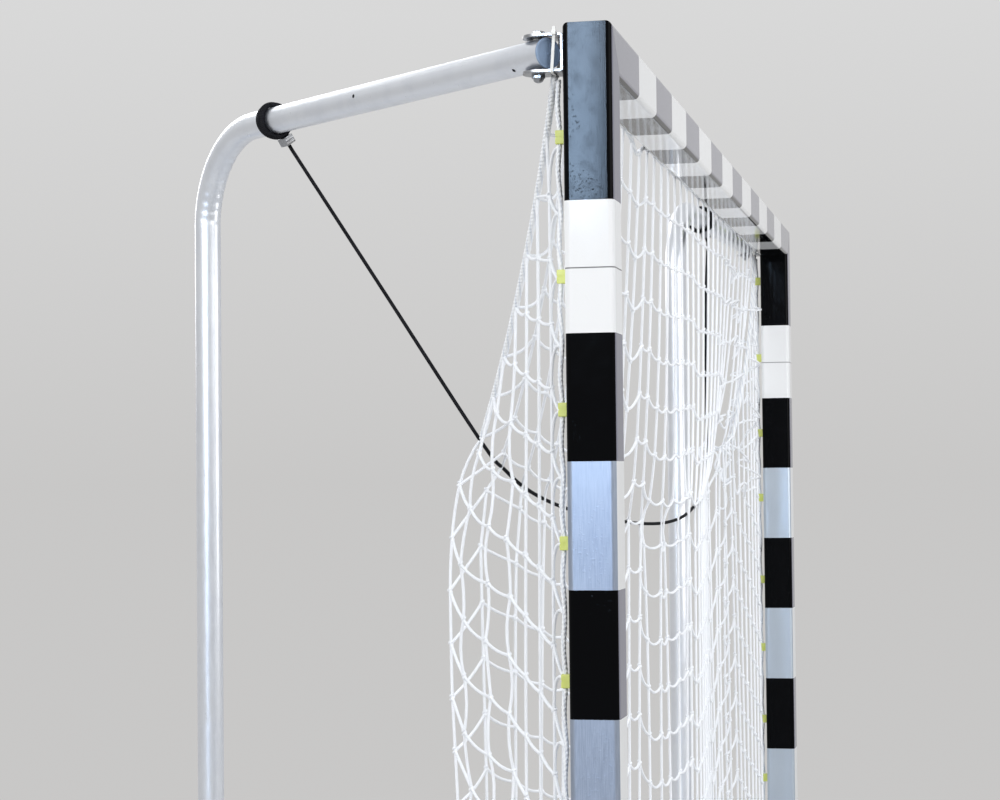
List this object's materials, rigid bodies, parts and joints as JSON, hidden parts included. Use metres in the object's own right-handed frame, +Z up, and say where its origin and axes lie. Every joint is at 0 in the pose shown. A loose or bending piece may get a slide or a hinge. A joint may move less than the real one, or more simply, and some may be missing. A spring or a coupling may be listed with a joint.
{
  "type": "handball goal",
  "caption": "Handball goal: banded box-section posts and crossbar, net bows folding on bolted hinges, an elastic cord between the bows and a knotted net clipped into grooves.",
  "frame": {"origin": "middle of the goal's ground plan, on the floor it stands on", "axes": "+X across the mouth from the left post to the right post as seen from the pitch, +Y towards the net behind the goal, +Z up"},
  "size_m": [3.16, 0.9407, 2.08],
  "materials": {
    "banded": "anodised, with black and white film bands",
    "aluminium": "mill finish",
    "bow_aluminium": "dull drawn tube, weathered",
    "zinc": "zinc plated",
    "grey_plastic": "moulded",
    "black_plastic": "moulded",
    "nylon": "natural nylon",
    "net_clip": "moulded, yellow-green",
    "black_cord": "braided cover over a rubber core",
    "net_cord": "twisted cord, knotted",
    "edge_rope": "twisted rope"
  },
  "bodies": {
    "frame": {"left_post": "banded", "left_post_head": "banded", "left_post_spigot": "aluminium", "left_corner_angle": "aluminium", "left_foot_plug": "black_plastic", "left_upper_bracket": "zinc", "left_lower_bracket": "zinc", "left_upper_bolt": "zinc", "left_lower_bolt": "zinc", "left_upper_nut": "zinc", "left_lower_nut": "zinc", "left_cable_tie": "nylon", "left_edge_rope": "edge_rope", "left_net": "net_cord", "right_post": "banded", "right_post_head": "banded", "right_post_spigot": "aluminium", "right_corner_angle": "aluminium", "right_foot_plug": "black_plastic", "right_upper_bracket": "zinc", "right_lower_bracket": "zinc", "right_upper_bolt": "zinc", "right_lower_bolt": "zinc", "right_upper_nut": "zinc", "right_lower_nut": "zinc", "right_cable_tie": "nylon", "right_edge_rope": "edge_rope", "right_net": "net_cord", "crossbar": "banded", "crossbar_edge_rope": "edge_rope", "elastic_cord": "black_cord", "net_main": "net_cord"},
    "left_bow": {"left_bow_tube": "bow_aluminium", "left_upper_bush": "nylon", "left_lower_bush": "nylon", "left_upper_tube_plug": "grey_plastic", "left_lower_tube_plug": "grey_plastic", "left_bow_glide": "black_plastic", "left_cord_loop": "black_cord", "left_cord_clamp": "zinc"},
    "right_bow": {"right_bow_tube": "bow_aluminium", "right_upper_bush": "nylon", "right_lower_bush": "nylon", "right_upper_tube_plug": "grey_plastic", "right_lower_tube_plug": "grey_plastic", "right_bow_glide": "black_plastic", "right_cord_loop": "black_cord", "right_cord_clamp": "zinc"}
  },
  "joints": [
    {"name": "left_bow_hinge", "type": "hinge", "parent": "frame", "child": "left_bow", "pos_m": [-1.54, -0.34541, 1.051], "axis": [0, 0, 1], "range_deg": [-47.5, 40.5], "deforming": ["elastic_cord", "net_main", "left_net", "right_net"]},
    {"name": "right_bow_hinge", "type": "hinge", "parent": "frame", "child": "right_bow", "pos_m": [1.54, -0.34541, 1.051], "axis": [0, 0, -1], "range_deg": [-1.5, 86.5], "deforming": ["elastic_cord", "net_main", "left_net", "right_net"]}
  ]
}
